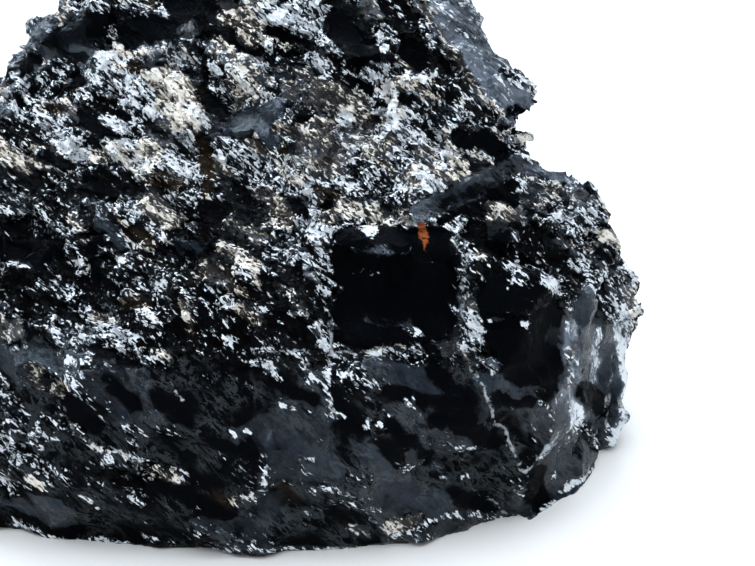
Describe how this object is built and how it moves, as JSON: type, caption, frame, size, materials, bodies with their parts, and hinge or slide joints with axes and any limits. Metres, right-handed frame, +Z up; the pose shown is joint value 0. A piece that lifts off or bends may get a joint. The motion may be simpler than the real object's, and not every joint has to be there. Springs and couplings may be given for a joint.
{
  "type": "morion quartz lump",
  "caption": "Broken lump of morion, a black smoky quartz: glassy conchoidal faces below, crushed veined rock above, standing on a flat fracture face.",
  "frame": {"origin": "middle of the bounding box in plan, on the plane of the flat face that the lump rests on", "axes": "+Z up, away from the resting face; -Y towards the broad dark side seen first, +X towards the end with the low shoulder"},
  "size_m": [0.143, 0.0976, 0.1011],
  "materials": {
    "morion": "glassy black with white healed cracks"
  },
  "bodies": {
    "root": {"morion_lump": "morion"}
  },
  "joints": []
}
